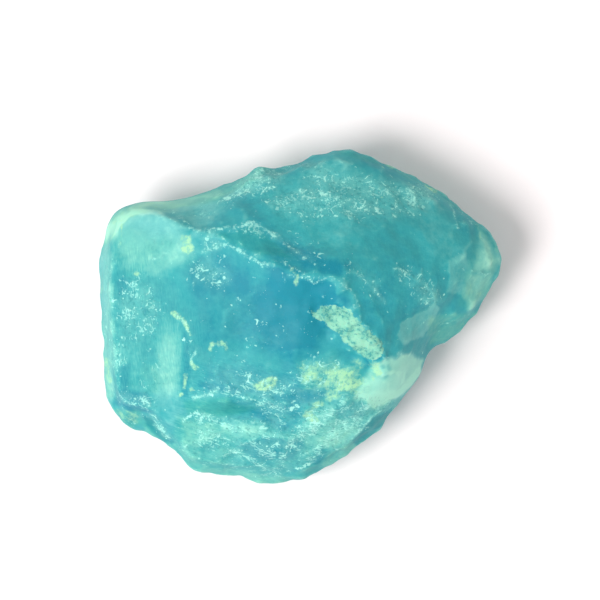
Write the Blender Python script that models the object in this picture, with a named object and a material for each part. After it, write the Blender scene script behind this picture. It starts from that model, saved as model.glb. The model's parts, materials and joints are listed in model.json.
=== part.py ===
"""A rough, unpolished chunk of celestite, 60 mm long, lying on its flat cleavage face.

The stone broke out of a larger mass as one piece, so it is one solid. It is set out like a survey of
a small hill: the girth is its outline seen from above, and break lines follow the crests, steps and
rims where two fracture faces meet. Each break line is a row of points (x, y, height) in millimetres
from the middle of the cleavage face. The faces between them curve softly, as a fracture does, and a
crease keeps each break line as sharp as the stone shows it.
"""

import math

import bmesh
import bpy
from mathutils import Vector
from mathutils.geometry import delaunay_2d_cdt

MM = 0.001
SAME_PLACE = 0.01 * MM

LENGTH = 60 * MM
DEPTH = 49.8 * MM
SOLE_DEPTH = 1.2 * MM  # how far the rough mass reaches below the cleavage face before it is cleaved off

SUBDIVISIONS = 4
CREST_CREASE = 0.85
RIM_CREASE = 0.55
GIRTH_CREASE = 0.45
FLANK_CREASE = 0.8
KEPT_SHARE = 0.064  # of the subdivided faces, kept where the surface bends
SHADING_ANGLE = math.radians(28)

SWELL_SIZE = 8 * MM  # soft swellings all over the fracture faces
SWELL_HEIGHT = 0.9 * MM
FLAKE_SIZE = 7 * MM  # hollows where large flakes broke off the underside and the flanks
FLAKE_HEIGHT = 2.4 * MM
FLAKE_TOP = 14 * MM  # these hollows fade out between the sole and this height
CHIP_SIZE = 2.8 * MM  # small scallops all over
CHIP_HEIGHT = 0.6 * MM
CRUST_SIZE = 1.7 * MM  # pits of the porous crust on the step
CRUST_HEIGHT = 1.1 * MM

STONE_COLOUR = (0.055, 0.36, 0.42, 1.0)

# The outline seen from above, anticlockwise from the sharp right-hand tip.
GIRTH = [
    (30.0, 8.2, 10.6),
    (29.8, 9.9, 11.2),
    (28.5, 12.0, 11.4),
    (26.6, 14.3, 10.6),
    (23.9, 16.6, 9.6),
    (20.8, 18.9, 9.2),
    (17.6, 20.7, 9.6),
    (14.6, 22.2, 10.4),
    (11.8, 23.2, 11.4),
    (8.9, 24.4, 12.2),
    (6.4, 24.9, 12.4),
    (3.8, 24.6, 12.0),
    (1.0, 23.6, 11.4),
    (-1.8, 22.5, 11.6),
    (-3.9, 22.2, 12.6),
    (-5.9, 22.6, 13.2),
    (-7.6, 21.9, 12.6),
    (-9.2, 20.4, 11.2),
    (-12.9, 19.3, 9.8),
    (-17.2, 17.8, 9.6),
    (-20.9, 17.7, 11.0),
    (-24.6, 17.7, 12.4),
    (-27.7, 16.3, 12.2),
    (-29.4, 13.9, 10.8),
    (-30.0, 9.6, 9.4),
    (-29.9, 4.0, 8.6),
    (-29.7, -1.9, 8.4),
    (-29.1, -7.9, 8.6),
    (-29.0, -11.8, 8.2),
    (-28.6, -15.2, 7.4),
    (-26.4, -17.3, 6.8),
    (-23.2, -17.1, 7.0),
    (-20.9, -18.2, 7.8),
    (-18.8, -20.2, 8.2),
    (-16.6, -22.7, 7.8),
    (-14.2, -23.9, 7.0),
    (-9.0, -23.9, 6.2),
    (-7.3, -24.9, 5.8),
    (-4.5, -25.5, 5.8),
    (-0.2, -25.0, 6.4),
    (4.3, -22.6, 7.4),
    (8.2, -20.2, 8.4),
    (11.2, -17.7, 8.8),
    (13.3, -14.8, 8.8),
    (14.9, -12.8, 8.6),
    (17.1, -10.9, 9.4),
    (18.5, -8.2, 9.8),
    (18.9, -5.9, 9.0),
    (19.9, -4.3, 7.8),
    (21.6, -3.6, 7.0),
    (23.7, -2.4, 7.0),
    (25.6, -0.1, 7.6),
    (27.9, 3.0, 8.8),
    (29.4, 5.8, 9.8),
]

# Points where break lines meet.
CORNER = (-26.6, 15.1, 16.6)
SHOULDER = (-15.6, 12.4, 21.6)
CREST_PEAK = (0.9, 5.8, 27.0)
CREST_END = (6.9, 2.2, 26.2)
STEP_TOP_END = (12.5, -8.0, 21.4)
STEP_FOOT_END = (10.3, -8.8, 19.6)
SADDLE = (19.2, 2.9, 19.4)
COLUMN_FOOT = (-14.3, -13.0, 18.2)
LEDGE_END = (3.4, -14.6, 18.4)
RIM_TOP = (3.9, 22.9, 16.2)
LOBE_CORNER = (4.4, -20.9, 12.0)

# Crests, steps and rims on the upper side: name, how sharp, and the points it runs through.
BREAK_LINES = [
    (
        "main crest",
        CREST_CREASE,
        [
            SHOULDER,
            (-12.9, 12.0, 22.8),
            (-10.2, 11.2, 23.8),
            (-7.2, 9.5, 24.8),
            (-4.5, 8.1, 25.8),
            (-1.9, 6.6, 26.6),
            CREST_PEAK,
            (3.8, 6.0, 27.2),
            (5.8, 4.4, 27.0),
            CREST_END,
        ],
    ),
    (
        "upper crest",
        CREST_CREASE,
        [
            CORNER,
            (-22.6, 15.9, 17.8),
            (-19.1, 14.7, 19.8),
            SHOULDER,
            (-12.6, 13.5, 21.6),
            (-9.8, 14.0, 21.8),
            (-7.1, 14.6, 22.0),
            (-4.2, 12.3, 23.0),
            (-1.3, 9.3, 24.2),
        ],
    ),
    (
        "crust step, upper edge",
        CREST_CREASE,
        [
            CREST_END,
            (8.1, -0.4, 25.8),
            (10.1, -3.0, 24.6),
            (12.2, -5.4, 23.4),
            STEP_TOP_END,
        ],
    ),
    (
        "crust step, foot",
        RIM_CREASE,
        [
            (1.7, 1.0, 24.2),
            (3.3, -1.4, 22.8),
            (5.8, -3.6, 22.0),
            (7.8, -5.6, 20.8),
            STEP_FOOT_END,
        ],
    ),
    (
        "pale face, upper edge",
        CREST_CREASE,
        [STEP_FOOT_END, STEP_TOP_END, (14.9, -6.5, 18.8), (16.9, -5.6, 16.0)],
    ),
    (
        "right shoulder",
        RIM_CREASE,
        [
            (26.4, 11.6, 15.0),
            (22.0, 7.3, 18.4),
            SADDLE,
            (18.6, -1.5, 16.4),
            (19.0, -3.0, 12.8),
        ],
    ),
    (
        "right tip rim",
        CREST_CREASE,
        [SADDLE, (23.2, 5.6, 16.4), (26.7, 6.6, 14.4), (28.6, 8.4, 13.2)],
    ),
    (
        "right lower band",
        CREST_CREASE,
        [(20.3, -0.5, 14.4), (23.6, 0.7, 13.2), (26.4, 2.2, 12.0)],
    ),
    (
        "left rim",
        RIM_CREASE,
        [
            CORNER,
            (-27.6, 11.4, 16.4),
            (-27.6, 6.8, 16.8),
            (-27.9, 1.2, 16.6),
            (-27.6, -4.6, 16.2),
            (-27.0, -9.6, 15.2),
            (-26.4, -12.4, 14.0),
        ],
    ),
    (
        "pale column, ridge",
        RIM_CREASE,
        [
            (-14.2, 0.2, 21.2),
            (-12.4, -3.4, 21.2),
            (-11.4, -8.4, 20.4),
            COLUMN_FOOT,
        ],
    ),
    (
        "pale column, foot",
        RIM_CREASE,
        [(-18.4, -2.4, 18.4), (-17.6, -8.0, 17.4), (-16.8, -12.6, 16.6)],
    ),
    (
        "corner block, upper edge",
        CREST_CREASE,
        [(-26.4, -12.4, 14.0), (-23.6, -12.9, 15.0), (-20.2, -14.6, 14.8), (-18.0, -17.4, 13.4)],
    ),
    (
        "ledge, upper edge",
        CREST_CREASE,
        [
            COLUMN_FOOT,
            (-9.8, -11.9, 19.6),
            (-5.3, -11.8, 20.0),
            (-0.8, -13.0, 19.8),
            LEDGE_END,
        ],
    ),
    (
        "ledge, foot",
        RIM_CREASE,
        [(-14.9, -14.6, 15.8), (-9.8, -13.9, 16.2), (-4.9, -14.3, 16.6), (-0.1, -15.6, 16.2)],
    ),
    (
        "lobe, upper edge",
        CREST_CREASE,
        [
            (-16.8, -16.7, 14.6),
            (-12.7, -15.6, 16.0),
            (-8.3, -16.5, 16.6),
            (-3.8, -17.6, 16.4),
            (0.0, -17.4, 16.0),
            (5.1, -16.3, 15.6),
        ],
    ),
    (
        "lobe, lower rim",
        RIM_CREASE,
        [
            (-17.2, -20.4, 12.0),
            (-13.4, -21.8, 11.6),
            (-8.4, -22.2, 11.0),
            (-4.4, -23.4, 10.2),
            (0.2, -22.9, 10.6),
            LOBE_CORNER,
        ],
    ),
    (
        "yellow ridge",
        RIM_CREASE,
        [STEP_FOOT_END, (8.6, -10.6, 20.0), (5.8, -12.9, 19.4), LEDGE_END],
    ),
    (
        "dark side, upper rim",
        CREST_CREASE,
        [
            (16.4, -10.1, 13.6),
            (13.6, -12.6, 14.0),
            (11.0, -15.2, 13.8),
            (7.9, -18.2, 13.0),
            LOBE_CORNER,
        ],
    ),
    (
        "upper right rim",
        GIRTH_CREASE,
        [
            RIM_TOP,
            (6.7, 23.3, 16.0),
            (11.5, 21.6, 15.4),
            (17.0, 18.9, 14.6),
            (22.8, 15.3, 14.6),
            (26.4, 11.6, 15.0),
        ],
    ),
    (
        "top rim",
        GIRTH_CREASE,
        [
            (-16.8, 16.2, 15.2),
            (-12.2, 17.7, 15.4),
            (-8.4, 19.2, 16.0),
            (-5.9, 21.0, 16.6),
            (-3.2, 20.8, 16.2),
            (0.4, 21.9, 15.6),
            RIM_TOP,
        ],
    ),
]

# Single heights on the faces between the break lines.
SPOT_HEIGHTS = [
    (7.4, 14.5, 21.6),
    (14.8, 15.0, 18.8),
    (4.4, 19.6, 18.6),
    (-2.6, 16.2, 20.4),
    (-4.6, 18.4, 18.4),
    (-11.6, 15.4, 19.0),
    (15.0, 7.4, 22.2),
    (21.2, 12.2, 17.6),
    (13.6, 0.4, 22.8),
    (16.0, -2.6, 20.2),
    (8.8, 8.4, 25.0),
    (0.6, -2.2, 23.6),
    (2.6, -6.4, 21.6),
    (-3.6, 1.2, 24.4),
    (-9.0, 4.6, 23.6),
    (-8.0, -1.6, 22.8),
    (-7.2, -7.0, 21.4),
    (-2.4, -8.0, 21.4),
    (3.2, -10.2, 20.8),
    (-20.4, 9.8, 19.8),
    (-24.0, 7.0, 18.4),
    (-18.2, 4.0, 20.2),
    (-22.8, 0.4, 18.4),
    (-22.6, -6.6, 17.4),
    (-25.0, -14.8, 11.6),
    (12.9, -10.2, 17.8),
    (9.6, -14.2, 16.4),
    (-11.8, -19.0, 14.0),
    (-5.0, -20.4, 13.8),
    (1.6, -19.8, 13.6),
    (26.6, 10.2, 14.6),
    (24.2, 3.4, 14.2),
]

# The underside: a waist under the girth, then the rim of the cleavage face that the stone lies on.
WAIST = [
    (27.6, 8.6, 6.6),
    (20.8, 14.2, 3.0),
    (13.4, 20.4, 5.4),
    (5.8, 23.0, 7.4),
    (-2.0, 19.0, 3.4),
    (-8.2, 19.4, 7.0),
    (-17.8, 14.6, 3.2),
    (-26.4, 14.8, 7.8),
    (-27.6, 5.6, 2.4),
    (-28.6, -5.4, 5.6),
    (-25.0, -13.0, 2.2),
    (-18.6, -17.6, 4.8),
    (-13.6, -22.0, 4.6),
    (-3.8, -22.4, 1.6),
    (5.6, -19.4, 5.2),
    (12.8, -11.6, 3.2),
    (17.4, -6.2, 5.6),
    (21.8, -0.6, 2.6),
]
SOLE = [
    (22.8, 8.0),
    (17.6, 14.4),
    (6.6, 18.4),
    (-4.2, 15.6),
    (-14.6, 14.2),
    (-23.4, 10.8),
    (-25.4, -1.4),
    (-22.0, -11.6),
    (-13.2, -17.4),
    (-3.0, -19.2),
    (5.4, -14.6),
    (11.8, -7.4),
    (18.8, 0.2),
]

# Sharp edges that run down the flanks, as places in the rings: girth, waist, sole.
FLANK_EDGES = [
    (1, 0, 0),
    (6, 2, 1),
    (10, 3, 2),
    (15, 5, 4),
    (22, 7, 5),
    (26, 9, 6),
    (33, 11, 7),
    (36, 12, 8),
    (40, 14, 10),
    (46, 16, 11),
]


def clear_scene():
    for old in list(bpy.data.objects):
        bpy.data.objects.remove(old)


def closed_pairs(count, start=0):
    """Index pairs round a closed ring of points."""
    return [(start + i, start + (i + 1) % count) for i in range(count)]


def add_row(points, row):
    """The indices of a row of points, adding those that aren't in the survey yet."""
    indices = []
    for point in row:
        if point not in points:
            points.append(point)
        indices.append(points.index(point))
    return indices


def triangulate(points, edges):
    """Triangles that join surveyed points, seen from above, and keep every given edge."""
    flat = [Vector(p[:2]) for p in points]
    _, _, faces, *_ = delaunay_2d_cdt(flat, edges, [], 1, 1e-5)
    return faces


def upper_side():
    """Points, triangles and creases of everything above the girth."""
    points = list(GIRTH)
    creases = {pair: GIRTH_CREASE for pair in closed_pairs(len(GIRTH))}
    for _name, sharpness, row in BREAK_LINES:
        indices = add_row(points, row)
        creases.update({pair: sharpness for pair in zip(indices, indices[1:])})
    add_row(points, SPOT_HEIGHTS)
    return points, triangulate(points, list(creases)), creases


def lower_side():
    """Points, triangles and creases below the girth, whose points come first, as on the upper side."""
    sole = [(x, y, -SOLE_DEPTH / MM) for x, y in SOLE]
    points = GIRTH + WAIST + sole
    waist_start = len(GIRTH)
    sole_start = waist_start + len(WAIST)
    creases = {}
    for girth, waist, sole_place in FLANK_EDGES:
        creases[girth, waist_start + waist] = FLANK_CREASE
        creases[waist_start + waist, sole_start + sole_place] = FLANK_CREASE
    edges = closed_pairs(len(GIRTH)) + closed_pairs(len(WAIST), waist_start)
    edges += closed_pairs(len(sole), sole_start) + list(creases)
    return points, triangulate(points, edges), creases


def stone_cage():
    """The control mesh, upper and lower side joined along the girth."""
    upper_points, upper_faces, upper_creases = upper_side()
    lower_points, lower_faces, lower_creases = lower_side()

    cage = bmesh.new()
    crease_layer = cage.edges.layers.float.new("crease_edge")
    upper = [cage.verts.new(Vector(p) * MM) for p in upper_points]
    lower = upper[: len(GIRTH)] + [cage.verts.new(Vector(p) * MM) for p in lower_points[len(GIRTH) :]]
    for corners in upper_faces:
        cage.faces.new([upper[i] for i in corners])
    for corners in lower_faces:
        cage.faces.new([lower[i] for i in reversed(corners)])
    for vertices, creases in ((upper, upper_creases), (lower, lower_creases)):
        for pair, sharpness in creases.items():
            edge = cage.edges.get([vertices[i] for i in pair])
            edge[crease_layer] = sharpness
    bmesh.ops.recalc_face_normals(cage, faces=cage.faces[:])

    mesh = bpy.data.meshes.new("celestite_chunk")
    cage.to_mesh(mesh)
    cage.free()
    return mesh


def celestite_material():
    """Milky blue-green celestite, broken and not polished."""
    material = bpy.data.materials.new("broken_celestite")
    material.use_nodes = True
    shader = material.node_tree.nodes["Principled BSDF"]
    shader.inputs["Base Color"].default_value = STONE_COLOUR
    shader.inputs["Roughness"].default_value = 0.35
    shader.inputs["IOR"].default_value = 1.62
    shader.inputs["Transmission Weight"].default_value = 0.4
    material.diffuse_color = STONE_COLOUR
    return material


def mark_flaked_side(stone):
    """A vertex group that is full on the underside and fades out up the flanks."""
    flaked = stone.vertex_groups.new(name="flaked side")
    for vertex in stone.data.vertices:
        share = min(1.0, max(0.0, 1.0 - vertex.co.z / FLAKE_TOP))
        flaked.add([vertex.index], share, "REPLACE")
    return flaked.name


def mark_crust(stone):
    """A vertex group on the points of the crust step alone."""
    crust = stone.vertex_groups.new(name="crust")
    step = [Vector(p) * MM for name, _sharpness, row in BREAK_LINES if "crust step" in name for p in row]
    for vertex in stone.data.vertices:
        if any((vertex.co - point).length < SAME_PLACE for point in step):
            crust.add([vertex.index], 1.0, "REPLACE")
    return crust.name


def add_relief(stone, name, kind, size, height, group=""):
    """Raises and sinks the surface by a noise whose marks are about that size."""
    noise = bpy.data.textures.new(name, type=kind)
    noise.noise_scale = size
    relief = stone.modifiers.new(name, "DISPLACE")
    relief.texture = noise
    relief.texture_coords = "LOCAL"
    relief.strength = height
    relief.mid_level = 0.5
    relief.vertex_group = group


def cleavage_cutter():
    """The block that is cleaved off below the resting face."""
    bpy.ops.mesh.primitive_cube_add(size=1)
    cutter = bpy.context.object
    cutter.name = "cleavage_cutter"
    margin, thickness = 10 * MM, 10 * MM
    for vertex in cutter.data.vertices:
        vertex.co.x *= LENGTH + margin
        vertex.co.y *= DEPTH + margin
        vertex.co.z = vertex.co.z * thickness - thickness / 2
    cutter.hide_render = True
    cutter.display_type = "WIRE"
    return cutter


def celestite_chunk():
    stone = bpy.data.objects.new("celestite_chunk", stone_cage())
    bpy.context.scene.collection.objects.link(stone)
    stone.data.materials.append(celestite_material())

    rounding = stone.modifiers.new("fracture faces", "SUBSURF")
    rounding.levels = rounding.render_levels = SUBDIVISIONS
    add_relief(stone, "swellings", "CLOUDS", SWELL_SIZE, SWELL_HEIGHT)
    add_relief(stone, "flake hollows", "VORONOI", FLAKE_SIZE, FLAKE_HEIGHT, mark_flaked_side(stone))
    add_relief(stone, "chips", "VORONOI", CHIP_SIZE, CHIP_HEIGHT)
    add_relief(stone, "crust pits", "VORONOI", CRUST_SIZE, CRUST_HEIGHT, mark_crust(stone))
    thinning = stone.modifiers.new("fewer faces where flat", "DECIMATE")
    thinning.ratio = KEPT_SHARE

    cleave = stone.modifiers.new("cleavage face", "BOOLEAN")
    cleave.operation = "DIFFERENCE"
    cleave.object = cleavage_cutter()
    stone.data.shade_smooth()
    stone.data.set_sharp_from_angle(angle=SHADING_ANGLE)
    return stone


clear_scene()
celestite_chunk()
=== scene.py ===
"""The looks of a raw celestite chunk, 60 mm long, lying on its flat face and seen from straight above.

The stone is one piece. Its body is the CAD stone made fine enough for small relief. The marks on its
upper side, such as frost, crust, stains and chipped crests, are painted at named places as masks, and
its flanks get masks from noise and from how sharp their edges are. The material turns the masks and
the depth of stone behind each point into colour.
"""

import json
import math
from functools import partial
from typing import NamedTuple

import bpy
import numpy as np
from bpy.props import FloatProperty, FloatVectorProperty, PointerProperty
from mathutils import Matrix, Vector, noise
from mathutils.bvhtree import BVHTree

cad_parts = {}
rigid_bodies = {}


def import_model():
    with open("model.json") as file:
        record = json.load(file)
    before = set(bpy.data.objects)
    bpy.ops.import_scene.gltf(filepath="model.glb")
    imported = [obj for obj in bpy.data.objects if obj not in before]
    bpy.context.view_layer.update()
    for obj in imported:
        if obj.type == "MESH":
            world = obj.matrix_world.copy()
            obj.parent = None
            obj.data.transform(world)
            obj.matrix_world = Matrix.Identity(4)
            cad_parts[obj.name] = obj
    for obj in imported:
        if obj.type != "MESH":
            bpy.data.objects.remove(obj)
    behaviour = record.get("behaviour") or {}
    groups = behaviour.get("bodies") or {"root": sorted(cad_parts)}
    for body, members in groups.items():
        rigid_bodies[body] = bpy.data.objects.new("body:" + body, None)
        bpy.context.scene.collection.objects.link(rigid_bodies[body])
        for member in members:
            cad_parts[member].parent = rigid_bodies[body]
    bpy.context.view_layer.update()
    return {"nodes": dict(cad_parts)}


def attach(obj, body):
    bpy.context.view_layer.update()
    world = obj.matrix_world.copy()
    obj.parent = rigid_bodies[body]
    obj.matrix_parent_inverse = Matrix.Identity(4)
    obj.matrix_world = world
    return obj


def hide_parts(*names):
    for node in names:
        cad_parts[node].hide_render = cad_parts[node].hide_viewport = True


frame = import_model()

bl_info = {
    "name": "Raw celestite chunk",
    "version": (1, 0, 0),
    "blender": (4, 5, 0),
    "location": "View3D > Sidebar > Celestite",
    "description": "Builds a raw celestite chunk with its frosted and crusted skin, and a stage for it",
    "category": "Add Mesh",
}

MM = 0.001
NODE = "celestite_chunk"

PHOTO_PIXELS = 600  # both sides of the photograph's frame
PIXEL = 60 * MM / 403  # the stone is 60 mm and 403 pixels long
STONE_MIDDLE = (300.5, 317)  # the pixel over the stone's own origin
GIRTH_HEIGHT = 11 * MM  # the outline that the camera sees is about this high above the floor
LENS = 150
SENSOR = 36
CAMERA = Vector((
    (PHOTO_PIXELS / 2 - STONE_MIDDLE[0]) * PIXEL,
    (STONE_MIDDLE[1] - PHOTO_PIXELS / 2) * PIXEL,
    GIRTH_HEIGHT + PHOTO_PIXELS * PIXEL * LENS / SENSOR,
))


class Mark(NamedTuple):
    """A mark on the upper side, at pixels of the photograph: an area, a line or spots.

    The soft edge and the half width are in mm.
    """

    name: str
    strength: float
    edge: float
    pixels: list
    half_width: float = 0.0
    spots: bool = False


# Lines and areas that more than one mask has a mark on.
SLIVER = [(217, 236), (232, 231), (252, 226), (272, 240), (290, 258), (262, 256), (236, 246)]
RIGHT_BAND = [(428, 318), (480, 312), (455, 338), (430, 345)]
STREAK = [(173, 312), (181, 319), (187, 325), (191, 336)]

# How deep (above zero) or pale (below zero) the stone looks. Some marks are painted light and shade: paler
# on slopes that face away from the key light, deeper on slopes that face it.
TONE = [
    Mark("beside the shoulder", -0.16, 2, [(165, 222), (196, 234), (204, 252), (186, 268), (170, 262)]),
    Mark("shoulder", -0.34, 3, [
        (118, 215), (150, 207), (175, 222), (188, 238), (185, 262), (160, 275), (125, 272), (116, 245),
    ]),
    Mark("left edge", -0.42, 1.5, [(103, 225), (103, 300), (107, 395)], 1.2),
    # Partly the pale fringe along the edge, partly painted light on the steep wall it runs along, which
    # faces away from the key light.
    Mark("top left fringe", -0.3, 1, [(105, 235), (125, 208), (150, 201), (175, 202), (215, 192)], 0.9),
    Mark("below the shoulder", 0.15, 1.2, [(118, 272), (126, 270), (128, 286), (118, 294)]),
    # Partly a pale frosted band below the outline, partly painted light on this steep slope, which faces
    # away from the key light.
    Mark("beside the fringe", -0.25, 1, [
        (128, 203), (176, 199), (215, 193), (258, 170), (264, 180), (220, 204), (180, 211), (140, 210),
    ]),
    # Painted light: a paler tone on the top left wall, which faces away from the key light.
    Mark("top left wall", -0.2, 1.4, [
        (104, 234), (112, 214), (130, 205), (160, 203), (178, 212), (150, 213), (128, 221), (116, 240),
    ]),
    # Painted shade: a deeper tone on the left facets, which face the key light.
    Mark("left flank", 0.08, 3, [(112, 262), (190, 262), (205, 300), (160, 345), (112, 340)]),
    Mark("left of the heart", 0.18, 4, [(190, 275), (250, 280), (255, 340), (200, 345)]),
    Mark("heart", 0.46, 5, [
        (275, 268), (325, 282), (345, 303), (325, 325), (312, 345), (290, 358), (262, 345), (258, 300),
    ]),
    Mark("sliver between crests", 0.1, 0.6, SLIVER),
    Mark("behind the step", 0.06, 2.4, [(356, 292), (392, 282), (402, 325), (385, 340), (368, 318)]),
    Mark("over the main crest", 0.25, 1.6, [(280, 240), (310, 250), (350, 265), (345, 278), (305, 268)]),
    Mark("by the corner", 0.25, 1, [(112, 368), (130, 362), (132, 392), (118, 398)]),
    Mark("over the corner", 0.4, 0.9, [(113, 391), (148, 394), (153, 412), (130, 411), (116, 404)]),
    Mark("beside the column", 0.2, 0.7, [
        (182, 330), (189, 342), (192, 372), (188, 396), (181, 397), (184, 360),
    ]),
    Mark("column, left", 0.12, 0.8, [(138, 352), (156, 346), (157, 396), (139, 396)]),
    Mark("beyond the ledge", 0.22, 1, [(258, 392), (300, 396), (332, 404), (300, 422), (268, 408)]),
    Mark("under the ledge", 0.05, 0.8, [
        (232, 398), (262, 404), (300, 420), (296, 432), (262, 420), (235, 410),
    ]),
    Mark("under the ledge, deep", 0.25, 0.9, [
        (250, 414), (262, 408), (280, 416), (292, 424), (284, 431), (268, 426),
    ]),
    Mark("lower heart", -0.1, 3, [(225, 330), (300, 340), (300, 366), (225, 362)]),
    Mark("lower rim, left", -0.2, 1.2, [(150, 432), (185, 458), (210, 474), (255, 478), (290, 483)], 0.8),
    Mark("streak over the ledge", 0.25, 0.6, [(202, 385), (236, 391)], 0.4),
    Mark("below the crest", 0.17, 2, [(186, 262), (215, 254), (246, 268), (250, 292), (192, 294)]),
    Mark("over the ledge", 0.15, 1.6, [(205, 366), (260, 368), (304, 380), (300, 396), (205, 392)]),
    Mark("pale column", -0.16, 2, [(163, 318), (178, 318), (184, 345), (180, 395), (156, 398), (150, 368)]),
    Mark("pale column, middle", -0.14, 1.2, [
        (164, 334), (174, 334), (178, 358), (175, 392), (168, 396), (160, 378), (160, 354),
    ]),
    # Painted light: a paler tone on the upper facet, which slopes away from the key light.
    Mark("upper facet", -0.09, 3, [
        (250, 190), (340, 156), (440, 202), (470, 250), (440, 270), (380, 262), (330, 250), (280, 226),
    ]),
    Mark("upper facet, middle", 0.08, 4, [(370, 228), (420, 222), (438, 262), (395, 272), (355, 252)]),
    Mark("upper facet, left", 0.02, 3, [
        (262, 185), (300, 165), (345, 170), (345, 200), (300, 215), (268, 205),
    ]),
    Mark("tip", -0.45, 1.6, [(479, 228), (486, 238), (501, 262), (494, 274), (474, 272), (481, 245)]),
    Mark("under the tip", -0.4, 1, [(472, 276), (495, 275), (487, 300), (470, 312), (464, 296)]),
    Mark("facet before the tip", -0.22, 0.5, [(450, 262), (466, 254), (474, 272), (464, 296), (447, 290)]),
    Mark("right lower band", -0.15, 1, RIGHT_BAND),
    Mark("blade", -0.34, 0.5, [
        (400, 322), (421, 312), (436, 303), (439, 309), (431, 323), (424, 334), (404, 346), (396, 334),
    ]),
    Mark("pale facet", -0.64, 0.9, [
        (370, 366), (402, 354), (424, 358), (422, 376), (402, 396), (376, 408), (352, 400),
    ]),
    Mark("dark sliver", 0.5, 0.3, [(391, 407), (386, 424), (360, 446), (352, 442), (372, 420)]),
    # Painted shade: a deeper tone on the lobe, which faces the key light.
    Mark("lobe", 0.08, 1.5, [
        (180, 416), (235, 418), (300, 428), (330, 440), (325, 460), (285, 478), (248, 472), (200, 462),
    ]),
    Mark("dark oval", 0.24, 0.5, [
        (240, 446), (255, 439), (285, 437), (304, 441), (308, 449), (290, 457), (256, 461), (246, 454),
    ]),
    Mark("lobe, left", 0.2, 1, [(200, 442), (215, 440), (222, 448), (204, 452)]),
    Mark("lobe, palest", -0.35, 0.9, [
        (222, 424), (240, 421), (254, 425), (267, 431), (260, 439), (246, 441), (232, 438), (222, 431),
    ]),
    Mark("lobe, left patch", -0.2, 0.9, [
        (182, 422), (200, 424), (214, 422), (221, 430), (214, 438), (198, 444), (184, 438),
    ]),
    Mark("smooth band", 0.1, 0.7, [(186, 402), (232, 399), (262, 412), (232, 414), (190, 414)]),
    # Painted light: a paler tone along the lower right slope, which faces away from the key light.
    Mark("lower right rim", -0.35, 1.5, [(330, 468), (366, 440), (404, 396), (420, 376)], 1),
    # Painted shade: a deeper tone on the wall of the step's foot, which faces the key light.
    Mark("step foot", 0.25, 0.8, [(362, 360), (376, 354), (390, 358), (393, 374), (386, 382), (366, 376)]),
    # Painted light: a paler tone on the slope beyond the shoulder, which faces away from the key light.
    Mark("beyond the shoulder", -0.28, 1.4, [
        (168, 210), (196, 204), (228, 204), (214, 222), (200, 230), (186, 224),
    ]),
    Mark("corner block, middle", 0.25, 0.8, [(122, 415), (134, 416), (134, 424), (124, 426)]),
    Mark("notch", 0.4, 0.6, [(142, 416), (152, 419), (163, 430), (174, 442), (164, 441), (150, 430)]),
    Mark("lower right", -0.2, 1.8, [
        (300, 402), (345, 396), (400, 392), (386, 406), (340, 448), (312, 464), (298, 432),
    ]),
    Mark("lower right, middle", 0.28, 1, [(330, 402), (366, 399), (364, 416), (338, 420)]),
    Mark("lower right, palest", -0.25, 1, [(316, 438), (345, 424), (362, 428), (345, 446), (322, 448)]),
    Mark("blue patch", 0.3, 0.6, [(312, 452), (324, 447), (328, 456), (318, 466), (310, 462)]),
    Mark("left of the trail", 0.3, 0.9, [(290, 388), (328, 390), (322, 401), (296, 402)]),
    Mark("left of the step", -0.15, 1.5, [(300, 362), (330, 352), (360, 372), (345, 398), (305, 390)]),
    Mark("beside the crust", -0.14, 0.8, [(346, 288), (357, 294), (359, 309), (350, 306)]),
]
# How far it leans from blue to green.
GREEN = [
    Mark("left flank", 0.3, 4, [(105, 225), (195, 250), (250, 310), (200, 390), (108, 400)]),
    Mark("upper facet", 0.14, 3, [
        (250, 170), (340, 152), (440, 200), (500, 262), (445, 300), (395, 276), (330, 258), (290, 240),
        (255, 205),
    ]),
    Mark("sliver between crests", 0.6, 0.5, SLIVER),
    Mark("top left fringe", 0.55, 0.8, [
        (105, 235), (125, 208), (150, 201), (175, 202), (215, 192), (262, 166),
    ], 1.3),
    Mark("left foot", 0.45, 0.6, [(104, 360), (106, 385), (110, 396)], 0.6),
    Mark("tip", 0.38, 1, [
        (476, 232), (484, 236), (501, 262), (495, 285), (470, 312), (458, 305), (468, 262),
    ]),
    Mark("right lower band", 0.6, 0.6, RIGHT_BAND),
    Mark("upper right rim", 0.55, 0.4, [(340, 152), (385, 163), (432, 187), (470, 215), (498, 250)], 0.4),
    Mark("smooth band", 0.9, 0.9, [(183, 401), (225, 398), (255, 408), (225, 417), (188, 416)]),
    Mark("corner block", 0.8, 0.5, [(107, 410), (140, 410), (142, 424), (125, 430), (112, 422)]),
    Mark("notch", 0.7, 0.5, [(142, 416), (152, 418), (170, 438), (160, 440), (142, 426)]),
    Mark("dark sliver", 0.7, 0.25, [(391, 409), (384, 424), (360, 444), (354, 440), (372, 420)]),
    Mark("pale facets", 0.3, 1, [(370, 366), (402, 354), (424, 358), (420, 378), (380, 410), (352, 400)]),
    Mark("lower rim", 0.45, 0.8, [
        (150, 432), (185, 458), (210, 474), (255, 478), (290, 483), (330, 462), (372, 432),
    ], 1),
    Mark("column, left", 0.5, 1, [(139, 362), (157, 360), (160, 394), (141, 396)]),
    Mark("lobe", 0.55, 2, [(178, 416), (222, 420), (238, 440), (228, 470), (195, 464), (172, 438)]),
    Mark("lobe, right", 0.3, 2, [(236, 420), (300, 428), (320, 450), (285, 478), (236, 470)]),
    Mark("under the step", 0.4, 1.5, [(300, 366), (355, 362), (384, 370), (372, 396), (303, 390)]),
    Mark("lower right", 0.4, 2, [(304, 404), (350, 396), (390, 400), (340, 448), (300, 468)]),
]
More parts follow.
